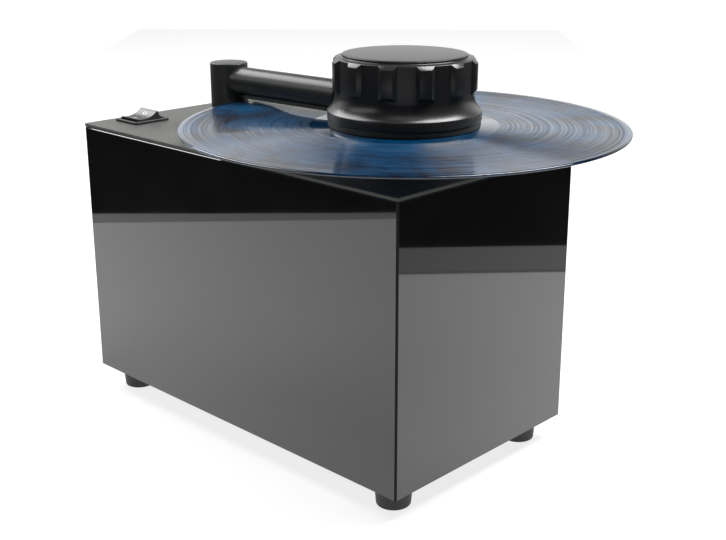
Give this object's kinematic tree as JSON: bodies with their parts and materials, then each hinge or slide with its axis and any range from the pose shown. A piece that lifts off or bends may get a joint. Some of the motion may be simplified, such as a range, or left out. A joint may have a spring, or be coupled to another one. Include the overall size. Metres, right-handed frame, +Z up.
{
  "type": "record cleaning machine",
  "caption": "Box-shaped vacuum record cleaning machine: a record held on a driven platter by a ribbed screw clamp, a swinging suction arm, a rocker switch and four rubber feet.",
  "frame": {"origin": "centre of the rectangle between the four feet, on the surface it stands on", "axes": "+X along the cabinet's long side towards the platter, +Y to the rear panel, +Z up"},
  "size_m": [0.3992, 0.3006, 0.2842],
  "materials": {
    "gloss_black": "gloss",
    "base_board": "matte",
    "foot_rubber": "matte",
    "zinc_steel": "satin",
    "plate_paint": "satin",
    "switch_black": "satin",
    "rocker_grey": "satin",
    "contact_brass": "satin",
    "arm_paint": "satin",
    "velvet": "matte",
    "machined_aluminium": "satin",
    "spring_steel": "satin",
    "tank_plastic": "satin",
    "seal_rubber": "matte",
    "float_plastic": "satin",
    "fitting_black": "satin",
    "fan_plastic": "satin",
    "galvanised_steel": "satin",
    "hose_rubber": "matte",
    "bearing_bronze": "satin",
    "mat_rubber": "matte",
    "record_vinyl": "gloss",
    "clamp_plastic": "satin",
    "gasket_rubber": "matte",
    "cable_sheath": "matte"
  },
  "bodies": {
    "cabinet": {"front_panel": "gloss_black", "right_panel": "gloss_black", "left_panel": "gloss_black", "rear_panel": "gloss_black", "base_plate": "base_board", "corner_blocks": "base_board", "feet": "foot_rubber", "foot_screws": "zinc_steel", "top_plate": "plate_paint", "plate_nuts": "zinc_steel", "switch_housing": "switch_black", "switch_terminals": "contact_brass", "post_sleeve": "arm_paint", "tank_body": "tank_plastic", "tank_lid": "tank_plastic", "inlet_seal": "seal_rubber", "float_cage": "tank_plastic", "drain_fitting": "fitting_black", "fan_cover": "fan_plastic", "fan_back_plate": "galvanised_steel", "fan_motor": "galvanised_steel", "motor_pad": "seal_rubber", "motor_cradle": "machined_aluminium", "motor_strap": "galvanised_steel", "pan_screws": "zinc_steel", "intake_elbow": "fan_plastic", "suction_hose": "hose_rubber", "exhaust_duct": "fan_plastic", "exhaust_grille": "fitting_black", "power_inlet": "fitting_black", "inlet_pins": "contact_brass", "capacitor": "fitting_black", "wiring": "cable_sheath", "bearing_housing": "machined_aluminium", "bearing_bush": "bearing_bronze", "drive_motor": "galvanised_steel", "standoffs": "zinc_steel", "countersunk_screws": "zinc_steel"},
    "platter": {"spindle": "zinc_steel", "output_shaft": "zinc_steel", "platter": "machined_aluminium", "platter_mat": "mat_rubber", "record_disc": "record_vinyl"},
    "clamp": {"clamp_body": "clamp_plastic", "clamp_insert": "bearing_bronze", "clamp_gasket": "gasket_rubber"},
    "swivel": {"spring_seat": "machined_aluminium", "lift_spring": "spring_steel"},
    "arm": {"arm_post": "arm_paint", "arm_tube": "arm_paint", "arm_end_cap": "arm_paint", "velvet_strips": "velvet", "post_collar": "machined_aluminium"},
    "rocker": {"rocker": "rocker_grey"},
    "impeller": {"impeller": "machined_aluminium", "fan_shaft": "zinc_steel"},
    "fuse_drawer": {"fuse_drawer": "fitting_black"},
    "drain_cap": {"drain_cap": "fitting_black"},
    "float": {"float_ball": "float_plastic"}
  },
  "joints": [
    {"name": "platter_spin", "type": "hinge", "parent": "cabinet", "child": "platter", "pos_m": [0.0864, 0, 0.21], "axis": [0, 0, 1], "continuous": true},
    {"name": "clamp_lift", "type": "slide", "parent": "platter", "child": "clamp", "axis": [0, 0, 1], "range_m": [0, 0.05]},
    {"name": "arm_swing", "type": "hinge", "parent": "cabinet", "child": "swivel", "pos_m": [-0.07977, -0.01328, 0.2], "axis": [0, 0, 1], "range_deg": [0, 100]},
    {"name": "arm_lift", "type": "slide", "parent": "swivel", "child": "arm", "axis": [0, 0, 1], "range_m": [-0.0012, 0], "stiffness_N_per_m": 400, "springref_m": 0.012, "deforming": ["lift_spring"]},
    {"name": "rocker_tilt", "type": "hinge", "parent": "cabinet", "child": "rocker", "pos_m": [-0.1397, -0.0518, 0.2112], "axis": [1, 0, 0], "range_deg": [-28, 0]},
    {"name": "impeller_spin", "type": "hinge", "parent": "cabinet", "child": "impeller", "pos_m": [-0.01, 0, 0.0845], "axis": [1, 0, 0], "continuous": true},
    {"name": "fuse_drawer_pull", "type": "slide", "parent": "cabinet", "child": "fuse_drawer", "axis": [0, 1, 0], "range_m": [0, 0.018]},
    {"name": "drain_cap_pull", "type": "slide", "parent": "cabinet", "child": "drain_cap", "axis": [0, 1, 0], "range_m": [0, 0.015]},
    {"name": "float_rise", "type": "slide", "parent": "cabinet", "child": "float", "axis": [0, 0, 1], "range_m": [0, 0.0104]}
  ]
}
